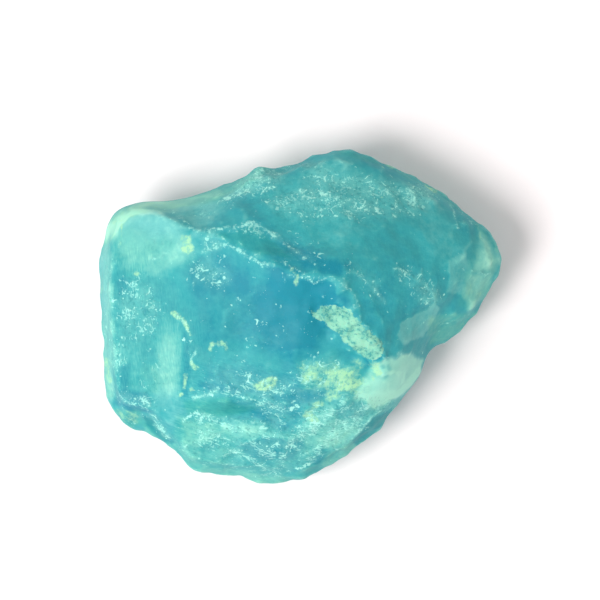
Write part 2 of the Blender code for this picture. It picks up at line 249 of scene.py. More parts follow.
# Yellow-green stain.
STAIN = [
    Mark("patch on the shoulder", 0.8, 0.6, [(181, 236), (190, 237), (195, 247), (187, 254), (179, 248)]),
    Mark("top left", 0.2, 1.4, [(108, 222), (124, 212), (140, 207), (160, 208)], 1),
    Mark("inner line", 0.5, 0.5, [(121, 226), (121, 246)], 0.2),
    Mark("streak", 0.9, 0.4, STREAK, 0.25),
    Mark("blob", 0.8, 0.4, [(193, 364), (197, 369)], 0.4),
    Mark("stroke", 0.9, 0.4, [(187, 374), (185, 387)], 0.25),
    Mark("spots by the column", 0.7, 0.3, [(193, 391), (181, 394)], 0.3, True),
    Mark("hook", 1, 0.5, [(209, 350), (212, 344), (218, 342), (225, 343), (227, 348)], 0.35),
    Mark("porous patch", 0.8, 0.5, [(251, 383), (262, 380), (276, 376), (277, 386), (268, 391), (254, 389)]),
    Mark("left of the step foot", 0.6, 1.6, [(296, 366), (318, 358), (324, 384), (304, 390)]),
    Mark("under the step", 0.7, 2.4, [(324, 368), (356, 362), (366, 378), (354, 396), (326, 397)]),
    Mark("under the step, bright", 1.1, 0.6, [(335, 391), (345, 388), (356, 384)], 0.5),
    Mark("beyond the step", 1.1, 0.8, [(370, 369), (377, 366), (382, 378), (371, 379)]),
    Mark("trail", 0.6, 0.8, [(344, 392), (325, 403), (312, 408), (304, 414), (316, 420)], 0.45),
    Mark("tip", 0.15, 0.8, [(470, 280), (490, 280), (478, 306), (466, 312), (462, 300)]),
    Mark("tip edge", 0.3, 0.4, [(478, 225), (481, 241)], 0.15),
    Mark("upper right rim", 0.6, 0.4, [(384, 164), (392, 168)], 0.3),
    Mark("right rim", 0.6, 0.4, [(427, 186), (437, 191)], 0.25),
    Mark("patch on the upper facet", 0.4, 0.6, [(377, 187), (384, 187), (384, 200), (379, 199)]),
    Mark("beside the main crest", 0.75, 0.5, [(291, 270), (297, 277), (296, 283)], 0.3),
    Mark("corner block", 0.35, 1, [(108, 410), (136, 412), (138, 424), (122, 428)]),
    Mark("left foot", 0.5, 0.5, [(105, 360), (108, 380)], 0.4),
    Mark("left fleck", 0.6, 0.4, [(136, 272)], 0.3, True),
]
# Where chips, strokes and scratches are thick.
FROST = [
    Mark("top rim", 0.9, 1.6, [
        (230, 186), (250, 172), (264, 166), (290, 168), (284, 186), (262, 192), (240, 198),
    ]),
    Mark("top rim, left", 0.6, 1, [(195, 203), (215, 197), (240, 200)], 0.8),
    Mark("dots under the rim", 0.5, 1.2, [(193, 206), (213, 208), (213, 222), (196, 218)]),
    Mark("where the crests meet", 0.95, 1, [(202, 236), (214, 232), (224, 240), (216, 252), (204, 250)]),
    Mark("shoulder", 0.35, 2, [(140, 236), (165, 232), (178, 258), (156, 264)]),
    Mark("below the crest", 0.7, 2, [
        (187, 262), (212, 256), (236, 268), (236, 284), (212, 292), (190, 284),
    ]),
    Mark("left flank", 0.7, 2.4, [(126, 274), (148, 274), (162, 298), (158, 342), (128, 342), (112, 318)]),
    Mark("left flank, cluster", 0.5, 1.4, [(130, 296), (156, 300), (160, 322), (138, 322)]),
    Mark("left foot", 0.8, 1.4, [(106, 338), (126, 338), (130, 362), (112, 376)]),
    Mark("left edge", 0.45, 1.4, [(108, 265), (110, 330)], 0.9),
    Mark("over the corner", 0.7, 1, [(110, 386), (150, 392), (160, 412), (135, 406), (112, 402)]),
    Mark("corner block", 0.5, 0.8, [(110, 408), (146, 408), (144, 426), (124, 428)]),
    Mark("column foot", 0.6, 1, [(140, 352), (158, 352), (164, 396), (140, 396)]),
    Mark("top facet, left", 0.8, 1.2, [(302, 162), (330, 160), (336, 176), (304, 180)]),
    Mark("upper facet", 0.72, 2.5, [(258, 196), (345, 170), (402, 184), (402, 222), (340, 222), (280, 218)]),
    Mark("top facet, right", 0.9, 1.6, [(404, 180), (442, 190), (426, 214), (404, 218)]),
    Mark("right rim", 0.6, 1, [(450, 204), (458, 226), (478, 222)], 0.7),
    Mark("curls", 0.72, 1.8, [
        (394, 264), (412, 268), (440, 284), (446, 306), (420, 310), (412, 292), (396, 276),
    ]),
    Mark("string of dots", 0.6, 0.8, [(356, 266), (372, 280), (384, 302)], 0.8),
    Mark("along the middle", 0.35, 1.5, [(345, 268), (372, 275), (388, 300), (372, 298), (350, 280)]),
    Mark("heart", 0.3, 3, [(215, 285), (290, 296), (320, 345), (230, 350)]),
    Mark("between the crests", 0.4, 2, [(262, 226), (300, 230), (350, 262), (300, 268)]),
    Mark("right of the heart", 0.45, 1.5, [(232, 330), (282, 326), (300, 345), (262, 352)]),
    Mark("over the ledge", 0.62, 1.8, [
        (204, 364), (240, 362), (300, 378), (330, 400), (290, 412), (240, 396), (205, 390),
    ]),
    Mark("ledge", 0.9, 0.9, [(193, 398), (212, 394), (240, 392), (262, 400), (285, 410)], 0.6),
    Mark("under the ledge", 0.6, 1.4, [(230, 400), (262, 402), (300, 416), (296, 430), (262, 416)]),
    Mark("lobe", 0.66, 2, [
        (180, 416), (235, 418), (300, 428), (330, 440), (320, 462), (285, 480), (248, 474), (196, 462),
    ]),
    Mark("lobe, upper edge", 0.95, 0.8, [
        (183, 424), (200, 415), (215, 418), (240, 421), (262, 420), (282, 428),
    ], 0.5),
    Mark("under the step", 0.62, 2, [(292, 368), (330, 352), (362, 380), (345, 398), (300, 405)]),
    Mark("lower right", 0.78, 2, [(296, 408), (345, 396), (398, 394), (380, 414), (338, 450), (308, 468)]),
    Mark("right facets", 0.45, 1.2, [(366, 385), (405, 362), (424, 365), (408, 392), (378, 408)]),
    Mark("notch", 0.7, 0.7, [(142, 400), (160, 428), (172, 440)], 0.6),
    Mark("right of the notch", 0.75, 1.2, [(172, 440), (196, 442), (214, 470), (190, 460)]),
    Mark("by the streak", 0.5, 1, [(176, 330), (192, 336), (198, 380), (188, 396), (184, 350)]),
]
# Where the strokes run across.
ACROSS = [
    Mark("lower half", 1, 4, [
        (190, 360), (300, 366), (400, 380), (420, 400), (320, 480), (240, 490), (160, 440),
    ]),
]
# Where they run down.
DOWN = [
    Mark("left", 1, 4, [(95, 230), (150, 250), (205, 330), (190, 396), (110, 400)]),
]
# Faces with few marks.
BARE = [
    Mark("smooth facet", 0.8, 3, [(350, 222), (440, 215), (462, 250), (400, 262), (350, 246)]),
    Mark("pale column", 0.8, 1, [(163, 320), (178, 320), (183, 345), (179, 390), (166, 390)]),
    Mark("pale facet", 0.8, 0.6, [(384, 366), (402, 357), (410, 362), (402, 385), (384, 384)]),
    Mark("smooth band", 0.75, 0.6, [(188, 404), (232, 400), (262, 412), (232, 414), (192, 414)]),
    Mark("sliver between crests", 0.7, 0.5, [
        (217, 238), (232, 233), (252, 230), (272, 242), (286, 256), (262, 254), (236, 246),
    ]),
    Mark("shoulder", 0.7, 2, [(122, 222), (148, 214), (170, 228), (178, 245), (160, 262), (126, 262)]),
]
# Chipped edges and scratches, which also stand up a little.
CREST = [
    Mark("upper crest, left", 0.8, 0.9, [(172, 212), (182, 220), (190, 228), (197, 231), (206, 231)], 0.3),
    Mark("upper crest", 0.9, 1.2, [
        (206, 231), (222, 229), (238, 227), (254, 222), (266, 228), (278, 238),
    ], 0.4),
    Mark("upper crest, band", 0.65, 1, [(240, 228), (255, 223), (272, 236), (262, 238), (246, 234)]),
    Mark("upper crest, tail", 0.85, 1, [(278, 238), (288, 246), (296, 252), (304, 259)], 0.2),
    Mark("main crest, left", 1, 1, [
        (204, 250), (212, 246), (228, 246), (240, 251), (252, 259), (262, 264), (276, 266),
    ], 0.3),
    Mark("main crest, middle", 0.85, 0.9, [(283, 263), (291, 269), (300, 272), (308, 276), (315, 281)], 0.3),
    Mark("main crest, right", 0.85, 0.9, [
        (315, 281), (323, 280), (332, 278), (340, 282), (348, 289), (355, 298), (358, 308),
    ], 0.25),
    Mark("tip line", 1, 0.5, [(473, 271), (475, 273), (484, 275), (493, 273)], 0.15),
    Mark("facet before the tip", 0.6, 0.6, [(449, 284), (450, 264), (462, 255)], 0.1),
    Mark("tip edge", 0.6, 0.7, [(478, 225), (480, 233), (482, 243)], 0.15),
    Mark("right lower line", 0.75, 0.5, [(440, 323), (452, 321), (466, 316)], 0.12),
    Mark("blade, lower edge", 0.6, 0.6, [(396, 340), (410, 334), (420, 326), (430, 318)], 0.1),
    Mark("blade, upper edge", 0.6, 0.6, [(400, 322), (421, 312), (436, 303)], 0.1),
    Mark("pale facet, upper edge", 0.6, 0.6, [(376, 366), (390, 358), (402, 354), (412, 362)], 0.15),
    Mark("pale facet, right", 0.8, 0.6, [(410, 368), (416, 374), (420, 378)], 0.2),
    Mark("ledge", 1, 0.7, [(194, 399), (206, 395), (216, 392)], 0.3),
    Mark("sliver edge", 0.9, 0.6, [(390, 402), (372, 416), (352, 438)], 0.2),
    Mark("oval, left", 0.8, 0.6, [(236, 448), (240, 454), (245, 461)], 0.1),
    Mark("oval, top", 0.8, 0.6, [(240, 446), (248, 442), (256, 438)], 0.1),
    Mark("lobe, upper line", 0.8, 0.8, [(182, 420), (200, 414), (218, 418), (242, 421), (268, 424)], 0.15),
    Mark("scratch", 0.95, 0.5, [(341, 207), (346, 203), (350, 199)], 0.12),
    Mark("low scratch", 0.9, 0.5, [(230, 462), (237, 467)], 0.12),
    Mark("long scratch", 0.7, 0.6, [(352, 272), (362, 278), (374, 288), (384, 302)], 0.1),
    Mark("upper curl", 0.95, 0.5, [(393, 267), (398, 267), (404, 272)], 0.12),
    Mark("curl string", 0.8, 0.8, [(404, 272), (416, 280), (426, 284), (431, 292), (436, 298)], 0.15),
    Mark("small scratches", 0.8, 0.5, [(419, 275), (422, 269)], 0.1),
    Mark("hooked scratch", 0.8, 0.5, [(345, 217), (349, 215), (353, 218), (350, 224)], 0.08),
    Mark("vertical scratch", 0.8, 0.5, [(283, 272), (284, 278), (286, 284)], 0.1),
    Mark("rim scratch", 0.9, 0.7, [(451, 205), (455, 217), (456, 226)], 0.2),
    Mark("smear on the notch", 0.85, 0.7, [(155, 424), (162, 430), (168, 436)], 0.25),
    Mark("over the notch", 0.9, 0.6, [(143, 399), (149, 405)], 0.25),
    Mark("inner line", 0.7, 0.7, [(120, 242), (123, 249), (129, 252)], 0.12),
    Mark("shoulder strokes", 0.75, 0.5, [(154, 260), (162, 256), (169, 251)], 0.12),
    Mark("upper shoulder stroke", 0.75, 0.5, [(152, 241), (157, 238), (161, 236)], 0.1),
    Mark("flank stroke", 0.85, 0.5, [(193, 291), (193, 284)], 0.15),
    Mark("over the streak", 0.75, 0.6, STREAK, 0.3),
    Mark("over the hook", 0.6, 0.5, [(209, 350), (215, 344), (223, 345), (225, 351)], 0.2),
    Mark("beside the column", 0.8, 0.6, [(196, 350), (193, 362), (194, 368)], 0.2),
]
# The porous crust, which is pitted.
CRUST = [
    Mark("step", 1, 0.8, [
        (310, 309), (322, 303), (337, 305), (348, 311), (356, 319), (366, 330), (376, 336), (384, 343),
        (382, 354), (376, 361), (367, 361), (360, 356), (355, 348), (347, 341), (335, 334), (329, 327),
        (320, 319), (314, 315),
    ]),
    Mark("below the step", 0.4, 0.8, [(366, 360), (374, 360), (378, 370), (370, 372)]),
]
# Places that the photograph shows as smooth and round.
CALM = [
    Mark("top left wall", 1, 2, [
        (100, 240), (102, 214), (118, 192), (150, 188), (214, 182), (214, 200), (180, 210), (150, 212),
        (128, 220), (116, 240),
    ]),
    Mark("pale facet", 1, 1.4, [(372, 372), (402, 352), (432, 352), (432, 376), (400, 402), (366, 398)]),
]
# The pale column, which is grooved.
COLUMN = [
    Mark("pale column", 1, 1, [(146, 345), (163, 318), (178, 318), (184, 345), (180, 398), (146, 398)]),
]
# Single pale chips.
FLECK = [
    Mark("big fleck", 1, 0.35, [(316, 190), (321, 189), (325, 193), (331, 192), (324, 197), (318, 198)]),
    Mark("hook fleck", 0.9, 0.3, [(391, 209), (396, 206), (399, 209)], 0.15),
    Mark("smear", 0.9, 0.4, [(218, 202), (226, 199), (232, 198)], 0.3),
    Mark("white smear", 0.95, 0.5, [(183, 420), (196, 414), (201, 419)], 0.4),
    Mark("ledge smears", 0.9, 0.4, [(242, 396), (252, 399), (262, 406)], 0.25),
    Mark("low ledge smear", 0.9, 0.4, [(263, 429), (272, 429)], 0.3),
    Mark("patch beyond the ledge", 0.95, 0.4, [(289, 410), (298, 407)], 0.35),
    Mark("smear by the lower rim", 0.95, 0.4, [(297, 467), (310, 464)], 0.3),
    Mark("large flecks", 1, 0.35, [
        (304, 178), (269, 185), (259, 174), (255, 212), (253, 194), (310, 165), (206, 237), (209, 217),
        (342, 199), (335, 217), (280, 206), (401, 281), (374, 283), (226, 279), (413, 188), (227, 247),
        (303, 365), (275, 378), (293, 408), (313, 406), (347, 418), (182, 252), (421, 300),
    ], 0.24, True),
    Mark("small flecks", 1, 0.3, [
        (318, 242), (324, 251), (326, 261), (371, 219), (365, 253), (369, 236), (343, 276), (353, 272),
        (270, 203), (262, 200), (295, 199), (240, 190), (250, 204), (240, 222), (272, 248), (297, 260),
        (348, 262), (434, 254), (458, 244), (467, 225), (378, 257), (397, 262), (408, 276), (384, 303),
        (197, 214), (201, 216), (210, 213), (216, 211), (232, 209), (173, 276), (198, 284), (215, 304),
        (223, 325), (166, 304), (122, 294), (121, 322), (132, 331), (116, 370), (119, 390), (129, 389),
        (173, 300), (246, 347), (237, 355), (229, 346), (258, 329), (269, 325), (309, 322), (308, 331),
        (269, 347), (247, 366), (262, 347), (312, 300), (330, 285), (296, 300), (251, 290), (205, 381),
        (245, 390), (282, 398), (278, 372), (327, 420), (340, 426), (353, 430), (334, 444), (388, 300),
        (415, 313), (444, 278), (405, 447),
    ], 0.13, True),
]
MARKS = {
    "tone": TONE,
    "green": GREEN,
    "stain": STAIN,
    "frost": FROST,
    "across": ACROSS,
    "down": DOWN,
    "bare": BARE,
    "crest": CREST,
    "crust": CRUST,
    "calm": CALM,
    "column": COLUMN,
    "fleck": FLECK,
}




def linear(hex_colour):
    """The linear colour of an sRGB hex value such as 2E9AB4."""
    channels = [int(hex_colour[i : i + 2], 16) / 255 for i in (0, 2, 4)]
    return [c / 12.92 if c <= 0.04045 else ((c + 0.055) / 1.055) ** 2.4 for c in channels]


def length(name, description, value):
    return FloatProperty(name=name, description=description, default=value, min=0, unit="LENGTH")


def angle(name, description, degrees):
    return FloatProperty(
        name=name, description=description, default=math.radians(degrees), subtype="ANGLE"
    )


def colour(name, description, hex_colour):
    default = linear(hex_colour)
    return FloatVectorProperty(
        name=name, description=description, default=default, min=0, max=1, size=3, subtype="COLOR"
    )


class CelestiteShape(bpy.types.PropertyGroup):
    """Sizes of the small relief on the stone."""

    grain: length("Grain", "Spacing of the mesh that carries the relief", 0.3 * MM)
    swell_size: length("Swell size", "Width of the soft swellings of a fracture face", 5 * MM)
    swell_height: length("Swell height", "Height of the soft swellings", 0.22 * MM)
    scallop_size: length("Scallop size", "Width of the scallops left by flakes", 1.9 * MM)
    scallop_height: length("Scallop height", "Depth of the scallops", 0.16 * MM)
    chip_size: length("Chip size", "Width of the chips on a frosted face", 0.8 * MM)
    chip_height: length("Chip height", "Depth of the chips", 0.15 * MM)
    pit_size: length("Pit size", "Width of the pits in the porous crust", 1.0 * MM)
    pit_depth: length("Pit depth", "Depth of the pits in the porous crust", 0.5 * MM)
    lip_height: length("Lip height", "How far the chipped crests and ledges stand up", 0.12 * MM)
    groove_spacing: length("Groove spacing", "Distance between the grooves of the pale column", 0.9 * MM)
    groove_depth: length("Groove depth", "Depth of the grooves of the pale column", 0.1 * MM)


class CelestiteColours(bpy.types.PropertyGroup):
    """Colours of the stone, from thin edges to its deep heart, and of its skin."""

    thin: colour("Thin", "Where little stone lies behind the surface", "AEF2E0")
    shallow: colour("Shallow", "Between the thin edges and the body", "72CBC6")
    body: colour("Body", "Most of the stone", "38AEB2")
    heart: colour("Heart", "Where the stone is deepest", "0A90A4")
    green_thin: colour("Green, thin", "Thin edges that lean to green", "A6F0CC")
    green_shallow: colour("Green, shallow", "Shallow stone that leans to green", "74CEB2")
    green_body: colour("Green, body", "Body that leans to green", "40B2AA")
    green_heart: colour("Green, heart", "Deep stone that leans to green", "18989A")
    frost: colour("Frost", "Chips and scratches, which scatter the light", "A8ECDE")
    haze: colour("Haze", "Thin veil of frost", "92DDCC")
    shade: colour("Chip shade", "The shaded side of a chip", "1E8A90")
    crust: colour("Crust", "Porous crust on the step", "76BEAA")
    crust_pale: colour("Crust, pale", "Pale patches of the crust", "94D2B6")
    stain: colour("Stain", "Yellow-green crust and stains", "AEE4B4")
    absorption: colour("Absorption", "What a long way through the stone leaves of white light", "3BAEB8")


class CelestiteStage(bpy.types.PropertyGroup):
    """The floor and the light."""

    floor: colour("Floor", "Plain pale floor", "FCF4F4")
    floor_side: length("Floor side", "Side of the square floor", 4.0)
    key_distance: length("Key distance", "From the stone to the middle of the soft key light", 0.5)
    key_side: length("Key side", "Side of the square key light", 0.2)
    key_power: FloatProperty(
        name="Key power", description="Power of the key light", default=2.0, min=0, unit="POWER"
    )
    key_tilt: angle("Key tilt", "How far the key light leans from straight above", 31)
    key_turn: angle("Key turn", "Where it leans, turned from the left towards the front", 26)
    sky: FloatProperty(
        name="Sky", description="Strength of the even white light all round", default=0.6, min=0
    )


FULL_DEPTH = 22 * MM  # stone deeper than this looks no deeper
DEPTH_START = 0.1 * MM  # under the surface, where the measuring of the depth starts
DEPTH_ROUNDS = 90  # how often the depth is evened out over the mesh
WANDERS = ((3.2 * MM, 0.45 * MM), (1.0 * MM, 0.2 * MM))  # how the painted edges wander: size and reach
WANDER_SEED = 3  # they wander the same way each time
UPPER_FROM, UPPER_TO = 0.05, 0.35  # the upright share of a normal, for the first and the full marks
FLANK_PATCHES = (("frost", 0.2, 0.6, 5 * MM, 1), ("green", 0.1, 0.6, 9 * MM, 2))  # least, more, size, seed
FLANK_STAIN = 0.6  # as much as this where the patches of both sizes and seeds meet
FLANK_STAIN_PATCHES = ((6 * MM, 3), (2 * MM, 4))
CALM_SKIN, CALM_RELIEF = 0.8, 0.7  # how much of the frost and of the relief a calm place loses
FREE_FROM, FREE_TO = 0.2 * MM, 1.7 * MM  # the relief grows between these heights, so the sole stays flat
LEAST_ROUGH = 0.05  # the share of the scallops that a smooth place keeps
WORN_ROUNDS = 14  # an edge is sharp where the mesh, evened out this often, falls behind it
WORN_FROM, WORN_TO = 0.05 * MM, 0.16 * MM  # by this much for the first wear and for full wear
FADE_ROUNDS = 24  # how often the frost and the reach of the marks are evened out, so that they fade out
WEIGHT_STEPS = 20  # a vertex group is filled in this many steps
EVEN_ROUNDS = 24  # how often the faces are evened out, which takes the CAD facets' edges off them
CALM_ROUNDS = 160  # the same for the places that the photograph shows as smooth and round


def smooth_step(values):
    """0 below 0, 1 above 1, and a soft step between."""
    share = np.clip(values, 0, 1)
    return share * share * (3 - 2 * share)


def vertex_values(mesh, name):
    values = np.empty(len(mesh.vertices) * 3, np.float32)
    mesh.vertices.foreach_get(name, values)
    return values.reshape(-1, 3).astype(float)


def seen_at(places):
    """The pixel of the photograph at which the camera sees each place."""
    reach = PHOTO_PIXELS * LENS / SENSOR / (CAMERA.z - places[:, 2])
    right = PHOTO_PIXELS / 2 + (places[:, 0] - CAMERA.x) * reach
    down = PHOTO_PIXELS / 2 - (places[:, 1] - CAMERA.y) * reach
    return np.column_stack([right, down])


def distance_to_line(plan, points):
    """How far each place is from a line through points, seen from above."""
    nearest = np.full(len(plan), np.inf)
    for start, end in zip(points, points[1:]):
        run = end - start
        along = np.clip((plan - start) @ run / max(run @ run, 1e-9), 0, 1)
        nearest = np.minimum(nearest, np.linalg.norm(plan - start - along[:, None] * run, axis=1))
    return nearest


def distance_to_spots(plan, points):
    """How far each place is from the nearest of the points, seen from above."""
    return np.min([np.linalg.norm(plan - point, axis=1) for point in points], axis=0)


def inside(plan, ring):
    """Whether each place is inside a closed ring of points, seen from above."""
    found = np.zeros(len(plan), bool)
    for (x0, y0), (x1, y1) in zip(ring, ring[1:]):
        if y0 != y1:
            crosses = (y0 > plan[:, 1]) != (y1 > plan[:, 1])
            found ^= crosses & (plan[:, 0] < x0 + (plan[:, 1] - y0) * (x1 - x0) / (y1 - y0))
    return found


def coverage(plan, mark):
    """How strongly a mark covers each place."""
    pixels = np.array(mark.pixels, float)
    pixel = PIXEL / MM
    if mark.spots:
        room = mark.half_width - distance_to_spots(plan, pixels) * pixel
    elif mark.half_width:
        room = mark.half_width - distance_to_line(plan, pixels) * pixel
    else:
        ring = np.vstack([pixels, pixels[:1]])
        distance = distance_to_line(plan, ring) * pixel
        room = np.where(inside(plan, ring), distance, -distance)
    return mark.strength * smooth_step(room / mark.edge + 0.5)


def mesh_edges(mesh):
    edges = np.empty(len(mesh.edges) * 2, np.int32)
    mesh.edges.foreach_get("vertices", edges)
    return edges.reshape(-1, 2)


def evened(values, edges, rounds):
    """Values on vertices, each made the mean of its neighbours' over and over."""
    here, there = edges.ravel(), edges[:, ::-1].ravel()
    neighbours = np.maximum(np.bincount(here, minlength=len(values)), 1)
    for _ in range(rounds):
        values = np.bincount(here, weights=values[there], minlength=len(values)) / neighbours
    return values


def stone_depth(stone, places, normals):
    """How much stone lies behind each vertex, from 0 at a thin edge to 1 at the full depth."""
    tree = BVHTree.FromObject(stone, bpy.context.evaluated_depsgraph_get())
    depths = np.empty(len(places))
    for i, (place, normal) in enumerate(zip(places, normals)):
        inward = -Vector(normal)
        *_, distance = tree.ray_cast(Vector(place) + inward * DEPTH_START, inward, FULL_DEPTH)
        depths[i] = FULL_DEPTH if distance is None else distance
    return evened(depths / FULL_DEPTH, mesh_edges(stone.data), DEPTH_ROUNDS)


def wear(stone, places, normals):
    """How sharp an edge each vertex stands on, from 0 on a face to 1 on an edge that wears first."""
    edges = mesh_edges(stone.data)
    behind = np.column_stack([evened(places[:, axis], edges, WORN_ROUNDS) for axis in range(3)])
    stands_out = np.einsum("ij,ij->i", places - behind, normals)
    return smooth_step((stands_out - WORN_FROM) / (WORN_TO - WORN_FROM))


def patches(places, size, seed):
    """Soft patches of noise, 0 between them and 1 in their middles."""
    shift = Vector((seed, 0, 0))
    values = np.array([noise.noise(Vector(place) / size + shift) for place in places])
    return smooth_step(values / 0.5 + 0.3)


def painted_masks(stone):
    """The masks of MARKS on each vertex, with patches of noise on the flanks that they don't reach."""
    places = vertex_values(stone.data, "co")
    normals = vertex_values(stone.data, "normal")
    noise.seed_set(WANDER_SEED)
    drawn = places
    for size, reach in WANDERS:
        drawn = drawn + np.array([noise.noise_vector(Vector(place) / size) for place in places]) * reach
    plan = seen_at(drawn)
    edges = mesh_edges(stone.data)
    upper = smooth_step((normals[:, 2] - UPPER_FROM) / (UPPER_TO - UPPER_FROM))
    upper = evened(upper, edges, FADE_ROUNDS)
    masks = {"depth": stone_depth(stone, places, normals), "worn": wear(stone, places, normals)}
    for name, marks in MARKS.items():
        layers = np.array([coverage(plan, mark) for mark in marks])
        masks[name] = layers.sum(axis=0) if name == "tone" else layers.max(axis=0)
        if name != "calm":
            masks[name] *= upper
    uncalm = 1 - CALM_SKIN * masks["calm"]
    masks["frost"] = uncalm * evened(masks["frost"], edges, FADE_ROUNDS)
    flank = uncalm * (1 - upper)
    for name, least, more, size, seed in FLANK_PATCHES:
        masks[name] += flank * (least + more * patches(places, size, seed))
    large, small = (patches(places, size, seed) for size, seed in FLANK_STAIN_PATCHES)
    masks["stain"] += flank * FLANK_STAIN * large * small
    masks["free"] = smooth_step((places[:, 2] - FREE_FROM) / (FREE_TO - FREE_FROM))
    return masks


def add_weights(stone, name, weights):
    """A vertex group with those weights, in a few steps."""
    group = stone.vertex_groups.new(name=name)
    steps = np.round(np.clip(weights, 0, 1) * WEIGHT_STEPS).astype(int)
    for step in range(1, WEIGHT_STEPS + 1):
        group.add(np.flatnonzero(steps == step).tolist(), step / WEIGHT_STEPS, "REPLACE")


def add_relief(stone, name, group, height, kind=None, size=0.0, **settings):
    """Raises and sinks the part of the stone in a vertex group, by a texture if one is given."""
    relief = stone.modifiers.new(name, "DISPLACE")
    relief.strength = height
    relief.vertex_group = group
    relief.mid_level = 0.0
    if kind:
        texture = bpy.data.textures.new(name, type=kind)
        texture.noise_scale = size
        for setting, value in settings.items():
            setattr(texture, setting, value)
        relief.texture = texture
        relief.texture_coords = "LOCAL"
        relief.mid_level = 0.5
    bpy.ops.object.modifier_apply(modifier=name)


def stone_body(shape):
    """A copy of the CAD stone as one closed mesh, fine enough for small relief."""
    bpy.ops.object.select_all(action="DESELECT")
    node = frame["nodes"][NODE]
    node.select_set(True)
    bpy.context.view_layer.objects.active = node
    bpy.ops.object.duplicate()
    stone = bpy.context.active_object
    bpy.ops.object.parent_clear(type="CLEAR_KEEP_TRANSFORM")
    stone.name = stone.data.name = "celestite_stone"
    for key in list(stone.keys()):
        del stone[key]
    bpy.ops.object.mode_set(mode="EDIT")
    bpy.ops.mesh.select_all(action="SELECT")
    bpy.ops.mesh.remove_doubles(threshold=0.001 * MM)
    bpy.ops.object.mode_set(mode="OBJECT")
    remesh = stone.modifiers.new("fine mesh", "REMESH")
    remesh.mode = "VOXEL"
    remesh.voxel_size = shape.grain
    remesh.use_smooth_shade = True
    bpy.ops.object.modifier_apply(modifier=remesh.name)
    return stone


def carve(stone, masks, shape):
    """Evens the faces between the edges, then cuts swellings, scallops, chips, crust and crests."""
    free = masks["free"] * (1 - CALM_RELIEF * masks["calm"])
    weights = {
        "face": 1 - np.maximum(masks["worn"], masks["crest"]),
        "calm": masks["calm"],
        "free": free,
        "rough": free * np.clip(masks["frost"] - masks["bare"], LEAST_ROUGH, 1),
    }
    for name in ("frost", "crust", "crest", "column"):
        weights[name] = free * masks[name]
    for name, values in weights.items():
        add_weights(stone, name, values)
    for group, rounds in (("face", EVEN_ROUNDS), ("calm", CALM_ROUNDS)):
        even = stone.modifiers.new(group, "SMOOTH")
        even.iterations = rounds
        even.vertex_group = group
        bpy.ops.object.modifier_apply(modifier=even.name)
    add_relief(stone, "swellings", "free", shape.swell_height, "CLOUDS", shape.swell_size)
    add_relief(stone, "scallops", "rough", shape.scallop_height, "VORONOI", shape.scallop_size)
    add_relief(stone, "chips", "frost", shape.chip_height, "VORONOI", shape.chip_size)
    add_relief(stone, "crust pits", "crust", shape.pit_depth, "VORONOI", shape.pit_size)
    add_relief(stone, "chipped crests", "crest", shape.lip_height)
    grooves = {"wood_type": "BANDNOISE", "turbulence": 2.0}
    add_relief(stone, "grooves", "column", shape.groove_depth, "WOOD", shape.groove_spacing, **grooves)


MODES = {  # what the second word of a node's kind sets, as in "Math MULTIPLY"
    "Math": "operation",
    "VectorMath": "operation",
    "MapRange": "interpolation_type",
    "Mapping": "vector_type",
    "Mix": "data_type",
}


def add_node(tree, kind, *inputs, output=None, **settings):
    """Adds a shader node, sets it, fills its inputs in turn with values or outputs, gives an output."""
    kind, *mode = kind.split()
    node = tree.nodes.new(f"ShaderNode{kind}")
    if mode:
        setattr(node, MODES[kind], mode[0])
    for name, value in settings.items():
        setattr(node, name, value)
    for socket, value in zip([s for s in node.inputs if s.enabled], inputs):
        if isinstance(value, bpy.types.NodeSocket):
            tree.links.new(value, socket)
        elif value is not None:
            socket.default_value = value
    return node.outputs[output] if output else next(s for s in node.outputs if s.enabled)


def opaque(rgb):
    return (*rgb, 1.0)


def spread_colours(scale, colours):
    """Sets the stops of a colour ramp to colours spread evenly from 0 to 1."""
    stops = scale.node.color_ramp.elements
    stops.remove(stops[1])
    stops[0].color = opaque(colours[0])
    for i, rgb in enumerate(colours[1:], 1):
        stops.new(i / (len(colours) - 1)).color = opaque(rgb)


# In what follows, a MapRange's numbers are where it starts and ends and what it gives there, and a
# MULTIPLY_ADD weighs one pattern or mask against another.


def wandering(add, place, size, reach):
    """The place moved about by noise, so that what is drawn there has ragged edges."""
    drift = add("TexNoise", place, 1 / size, 2.0, output="Color")
    centred = add("VectorMath SUBTRACT", drift, (0.5, 0.5, 0.5))
    moved = add("VectorMath SCALE", centred, reach)
    return add("VectorMath ADD", place, moved)


def chips(add, place, grain, size, density):
    """Ragged chips in cells of that size: a cell holds one where its luck is below the density."""
    far = add("TexVoronoi", place, 1 / size)
    luck = add("SeparateColor", far.node.outputs["Color"])
    present = add("Math LESS_THAN", luck, density)
    radius = add("Math MULTIPLY_ADD", luck.node.outputs["Green"], 0.26, 0.10)
    share = add("Math DIVIDE", far, radius)
    share = add("Math MULTIPLY_ADD", grain, 5.0, share)
    near = add("MapRange SMOOTHSTEP", share, 3.0, 3.4, 1.0, 0.0)
    return add("Math MULTIPLY", present, near)


def speckle(add, pattern, density, gain, start):
    """The peaks of a pattern: none without density, and more of them the higher it is."""
    level = add("Math MULTIPLY_ADD", density, gain, pattern)
    return add("MapRange SMOOTHSTEP", level, start, start + 0.09)


def streaks(add, place, turn):
    """Noise drawn out in one direction, as a slip or a splinter draws out its marks."""
    thin = (1.5 * MM, 0.2 * MM, 0.5 * MM)
    along = add("Mapping TEXTURE", place, None, (0, 0, math.radians(turn)), thin)
    return add("TexNoise", along, 1.0, 2.0, 0.6)


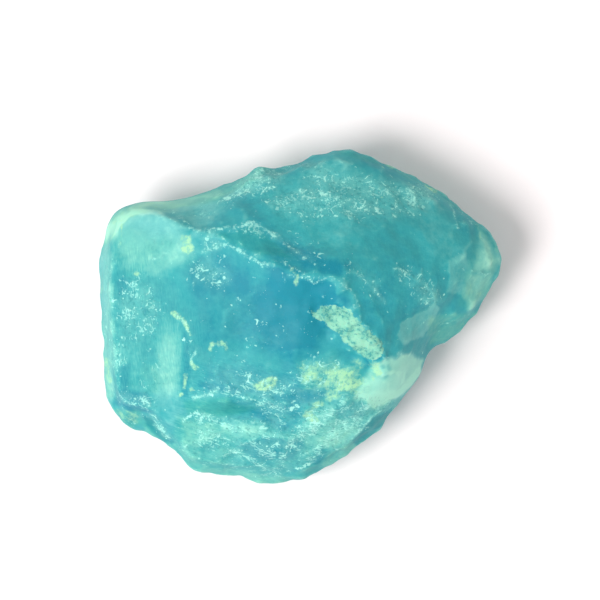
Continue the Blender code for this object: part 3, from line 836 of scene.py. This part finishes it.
def curls(add, place, size, density):
    """Thin curling scratches, where a soft noise passes through its middle, broken up by another."""
    soft = add("TexNoise", place, 1 / size, 1.0)
    off = add("Math ABSOLUTE", add("Math SUBTRACT", soft, 0.5))
    thin = add("MapRange SMOOTHSTEP", off, 0.012, 0.03, 1.0, 0.0)
    broken = speckle(add, add("TexNoise", place, 1.7 / size, 2.0), density, 0.35, 0.72)
    return add("Math MULTIPLY", thin, broken)


def painted(add, mask, patterns, start, end, most):
    """A painted mask cut ragged by patterns at their weights, and none far from where it is painted."""
    level = mask
    for pattern, weight in patterns:
        level = add("Math MULTIPLY_ADD", pattern, weight, level)
    cut = add("MapRange SMOOTHSTEP", level, start, end, 0.0, most)
    near = add("Math MULTIPLY", mask, 3.0, use_clamp=True)
    return add("Math MULTIPLY", cut, near)


def body_colour(add, place, mask, streaked, colours):
    """Pale or deep by the stone behind it and by the painted tone (with painted light and shade on some
    slopes), bluer or greener, with soft clouds.
    """
    cloud = add("TexNoise", place, 1 / (7 * MM), 3.0)
    mottle = add("TexNoise", place, 1 / (0.9 * MM), 4.0, 0.6)
    # The ramp's place mixes the real depth of stone with the painted tone, which on some slopes is painted
    # light or shade.
    depth = add("Math MULTIPLY_ADD", mask["depth"], 0.75, mask["tone"])
    depth = add("Math MULTIPLY_ADD", mask["worn"], -0.22, depth)
    depth = add("Math MULTIPLY_ADD", streaked, -0.5, depth)
    depth = add("Math MULTIPLY_ADD", cloud, 0.4, depth)
    uneven = add("MapRange", mask["calm"], None, None, 0.4, 0.0)
    mottled = add("Math MULTIPLY", add("Math SUBTRACT", mottle, 0.5), uneven)
    depth = add("Math ADD", depth, mottled)
    depth = add("Math SUBTRACT", depth, 0.2, use_clamp=True)
    lean = add("Math MULTIPLY_ADD", cloud, 0.5, mask["green"])
    lean = add("Math SUBTRACT", lean, 0.25, use_clamp=True)
    blues = add("ValToRGB", depth)
    spread_colours(blues, (colours.thin, colours.shallow, colours.body, colours.heart))
    greens = add("ValToRGB", depth)
    green_colours = (colours.green_thin, colours.green_shallow, colours.green_body, colours.green_heart)
    spread_colours(greens, green_colours)
    return add("Mix RGBA", lean, blues, greens)


def highest(add, *values):
    """The highest of several values at each point."""
    top, *others = values
    for other in others:
        top = add("Math MAXIMUM", top, other)
    return top


WAXY, DULL = 0.6, 0.9  # roughness of a clean break, and of chips and crust
CLEARNESS = 0.12  # how much light a clean break lets straight through: the stone is milky
ABSORPTION = 25.0  # density of the absorbing volume, per metre
OPTICS = {
    "IOR": 1.62,  # celestite's
    "Specular IOR Level": 0.2,  # a skin that is dulled by fine scratches
    "Subsurface Weight": 0.25,
    "Subsurface Radius": (0.3, 1.0, 1.0),  # red light goes least far into blue-green stone
    "Subsurface Scale": 1.0 * MM,
}
RAGGED = (0.4 * MM, 0.35 * MM)  # how the edges of chips wander: size and reach
BENT = (3.0 * MM, 0.6 * MM)  # how strokes and scratches bend
GRAIN, FINE, SOFT = 0.5 * MM, 0.3 * MM, 1.5 * MM  # sizes of the noise that chips and patches are cut from
CLUSTER = 1.9 * MM  # size of the clusters that chips stand in
CHIPS = ((0.5 * MM, 0.34), (1.0 * MM, 0.22))  # size, and share of the places taken where frost is thick
CURL = 1.8 * MM  # size of the curling scratches
PORES = (0.55 * MM, 0.75)  # size, and share of the crust's places that have one
ACROSS_TURN, DOWN_TURN = -16, 96  # of the strokes, in degrees

MASKS = (
    "depth", "worn", "tone", "green", "stain", "frost", "across", "down", "bare", "crest", "fleck", "crust",
    "calm",
)


def celestite_material(colours):
    """Raw celestite, a strontium sulfate, as it broke and never polished.

    It is milky blue-green and lets light through: thin edges look pale and greenish, deep stone blue.
    Clean breaks have a waxy sheen, and chipped and frosted places are dull and nearly white.
    """
    material = bpy.data.materials.new("raw_celestite_broken")
    material.use_nodes = True
    tree = material.node_tree
    shader = tree.nodes["Principled BSDF"]
    add = partial(add_node, tree)
    place = add("TexCoord", output="Object")
    ragged = wandering(add, place, *RAGGED)
    bent = wandering(add, place, *BENT)
    grain = add("TexNoise", ragged, 1 / GRAIN, 4.0, 0.65)
    fine = add("TexNoise", ragged, 1 / FINE, 3.0, 0.65)
    soft = add("TexNoise", ragged, 1 / SOFT, 3.0, 0.6)
    mask = {name: add("Attribute", attribute_name=name, output="Fac") for name in MASKS}

    # Chips, strokes and scratches, thick where frost is painted and sparse elsewhere.
    cluster = add("TexNoise", place, 1 / CLUSTER, 3.0)
    cluster = add("MapRange SMOOTHSTEP", cluster, 0.38, 0.66)
    density = add("Math MULTIPLY_ADD", cluster, 0.5, mask["frost"])
    density = add("Math MULTIPLY_ADD", mask["bare"], -0.3, density)
    density = add("Math SUBTRACT", density, 0.3, use_clamp=True)
    line = highest(add, mask["crest"], add("Math MULTIPLY", mask["worn"], 0.4))
    fleck = add("Math MULTIPLY_ADD", grain, 3.5, mask["fleck"])
    fleck = add("MapRange SMOOTHSTEP", fleck, 2.46, 2.72, 0.0, 0.85)
    across, down = streaks(add, bent, ACROSS_TURN), streaks(add, bent, DOWN_TURN)
    marks = highest(
        add,
        *(chips(add, ragged, grain, size, add("Math MULTIPLY", density, share)) for size, share in CHIPS),
        speckle(add, fine, density, 0.27, 0.74),
        speckle(add, across, add("Math MULTIPLY", density, mask["across"]), 0.28, 0.78),
        speckle(add, down, add("Math MULTIPLY", density, mask["down"]), 0.28, 0.78),
        curls(add, bent, CURL, density),
        painted(add, line, [(grain, 3.4)], 2.2, 2.75, 0.85),
    )
    haze = add("Math MULTIPLY_ADD", mask["crest"], 0.6, mask["frost"])
    haze = add("Math MULTIPLY", haze, soft)
    veil = add("MapRange SMOOTHSTEP", haze, 0.08, 0.6, 0.0, 0.4)
    bright = add("MapRange", soft, 0.36, 0.6, 0.45, 0.95)
    white = highest(add, add("Math MULTIPLY", marks, bright), fleck)

    # Small dark places between the chips.
    dark = add("MapRange SMOOTHSTEP", grain, 0.36, 0.46, 0.7, 0.0)
    shade = add("Math MULTIPLY", dark, mask["frost"])

    # Yellow-green stain, and the porous crust on the step, pale in patches and dark in its pits.
    broken = add("MapRange SMOOTHSTEP", grain, 0.38, 0.5, 0.5, 1.0)
    stain = painted(add, mask["stain"], [(soft, 3.0), (grain, 1.2)], 2.1, 3.3, 0.9)
    stain = add("Math MULTIPLY", stain, broken)
    crusted = painted(add, mask["crust"], [(grain, 2.4), (soft, 1.2)], 2.15, 2.4, 0.95)
    cream = add("MapRange SMOOTHSTEP", soft, 0.38, 0.62)
    pit = add("MapRange SMOOTHSTEP", grain, 0.43, 0.53, 0.7, 0.0)
    pit = add("Math MULTIPLY", pit, add("Math SUBTRACT", 1.0, cream))
    pore = add("Math MULTIPLY", chips(add, ragged, grain, *PORES), 0.7)
    pit = highest(add, pit, pore)
    crust_colour = add("Mix RGBA", cream, opaque(colours.crust), opaque(colours.crust_pale))
    crust_colour = add("Mix RGBA", pit, crust_colour, opaque(colours.shade))

    # Streaks of deeper and paler stone, which run as the strokes do.
    streaked = add("Math MULTIPLY", add("Math SUBTRACT", across, 0.5), mask["across"])
    streaked = add("Math MULTIPLY_ADD", add("Math SUBTRACT", down, 0.5), mask["down"], streaked)
    streaked = add("Math MULTIPLY", streaked, add("Math SUBTRACT", 1.0, mask["calm"]))
    skin = body_colour(add, place, mask, streaked, colours)
    for share, above in (
        (veil, opaque(colours.haze)),
        (shade, opaque(colours.shade)),
        (stain, opaque(colours.stain)),
        (white, opaque(colours.frost)),
        (crusted, crust_colour),
    ):
        skin = add("Mix RGBA", share, skin, above)
    tree.links.new(skin, shader.inputs["Base Color"])

    # Dull and closed where it is white, stained or crusted, waxy and open to light elsewhere.
    closed = highest(add, white, veil, stain, crusted)
    roughness = add("MapRange", closed, None, None, WAXY, DULL)
    tree.links.new(roughness, shader.inputs["Roughness"])
    clearness = add("MapRange", closed, None, None, CLEARNESS, 0.0)
    tree.links.new(clearness, shader.inputs["Transmission Weight"])
    for name, value in OPTICS.items():
        shader.inputs[name].default_value = value

    # A fine tooth all over, finer than the relief of the mesh, and the crust's pores.
    height = add("Math SUBTRACT", grain, add("Math MULTIPLY", pit, crusted))
    bump = add("Bump", 0.4, 0.15 * MM, None, height)
    tree.links.new(bump, shader.inputs["Normal"])

    absorption = add("VolumeAbsorption", opaque(colours.absorption), ABSORPTION)
    tree.links.new(absorption, tree.nodes["Material Output"].inputs["Volume"])
    return material


class CELESTITE_OT_stone(bpy.types.Operator):
    """Builds the celestite chunk with its relief, its painted marks and its material"""

    bl_idname = "celestite.stone"
    bl_label = "Celestite stone"

    def execute(self, context):
        shape = context.scene.celestite_shape
        stone = stone_body(shape)
        masks = painted_masks(stone)
        carve(stone, masks, shape)
        stone.vertex_groups.clear()
        for name in MASKS:
            attribute = stone.data.attributes.new(name, "FLOAT", "POINT")
            attribute.data.foreach_set("value", masks[name].astype(np.float32))
        stone.data.materials.clear()
        stone.data.materials.append(celestite_material(context.scene.celestite_colours))
        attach(stone, "root")
        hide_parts(NODE)
        return {"FINISHED"}


def floor_material(rgb):
    """Matt white card: an even surface with a faint tooth."""
    material = bpy.data.materials.new("matt_white_card")
    material.use_nodes = True
    tree = material.node_tree
    shader = tree.nodes["Principled BSDF"]
    add = partial(add_node, tree)
    paper = add("TexNoise", add("TexCoord", output="Object"), 1 / (1 * MM))
    tooth = add("Bump", 0.1, 0.02 * MM, None, paper)
    shader.inputs["Base Color"].default_value = opaque(rgb)
    shader.inputs["Roughness"].default_value = 0.9
    tree.links.new(tooth, shader.inputs["Normal"])
    return material


class CELESTITE_OT_stage(bpy.types.Operator):
    """Adds the floor, the soft light and the camera that looks straight down"""

    bl_idname = "celestite.stage"
    bl_label = "Stage"

    def execute(self, context):
        stage = context.scene.celestite_stage
        bpy.ops.mesh.primitive_plane_add(size=stage.floor_side)
        floor = context.active_object
        floor.name = "floor"
        floor.data.materials.append(floor_material(stage.floor))

        sideways = math.sin(stage.key_tilt)
        left = sideways * math.cos(stage.key_turn)
        front = sideways * math.sin(stage.key_turn)
        key_place = Vector((-left, -front, math.cos(stage.key_tilt))) * stage.key_distance
        aim = key_place.to_track_quat("Z", "Y").to_euler()
        bpy.ops.object.light_add(type="AREA", location=key_place, rotation=aim)
        key = context.active_object
        key.name = "key_light"
        key.data.energy = stage.key_power
        key.data.size = stage.key_side

        world = bpy.data.worlds.new("even_white_light")
        world.use_nodes = True
        background = world.node_tree.nodes["Background"]
        background.inputs["Color"].default_value = (1.0, 1.0, 1.0, 1.0)
        background.inputs["Strength"].default_value = stage.sky
        context.scene.world = world
        context.scene.view_settings.view_transform = "Standard"

        bpy.ops.object.camera_add(location=CAMERA, rotation=(0, 0, 0))
        camera = context.active_object
        camera.name = "camera"
        camera.data.lens = LENS
        camera.data.sensor_width = SENSOR
        camera.data.clip_start = 10 * MM
        context.scene.camera = camera
        return {"FINISHED"}


class CELESTITE_PT_panel(bpy.types.Panel):
    """Lists the stone and the stage with their settings"""

    bl_idname = "CELESTITE_PT_panel"
    bl_label = "Celestite"
    bl_space_type = "VIEW_3D"
    bl_region_type = "UI"
    bl_category = "Celestite"

    def draw(self, context):
        layout = self.layout
        for operator, group_names in PANEL_ROWS:
            layout.operator(operator.bl_idname)
            for group_name in group_names:
                group = getattr(context.scene, group_name)
                for setting in SETTING_GROUPS[group_name].__annotations__:
                    layout.prop(group, setting)


SETTING_GROUPS = {
    "celestite_shape": CelestiteShape,
    "celestite_colours": CelestiteColours,
    "celestite_stage": CelestiteStage,
}
PANEL_ROWS = [
    (CELESTITE_OT_stone, ["celestite_shape", "celestite_colours"]),
    (CELESTITE_OT_stage, ["celestite_stage"]),
]
CLASSES = [*SETTING_GROUPS.values(), CELESTITE_OT_stone, CELESTITE_OT_stage, CELESTITE_PT_panel]


def register():
    for cls in CLASSES:
        bpy.utils.register_class(cls)
    for name, group in SETTING_GROUPS.items():
        setattr(bpy.types.Scene, name, PointerProperty(type=group))


def unregister():
    for name in SETTING_GROUPS:
        delattr(bpy.types.Scene, name)
    for cls in reversed(CLASSES):
        bpy.utils.unregister_class(cls)


def main():
    register()
    bpy.ops.celestite.stone()
    bpy.ops.celestite.stage()


if __name__ == "__main__":
    main()
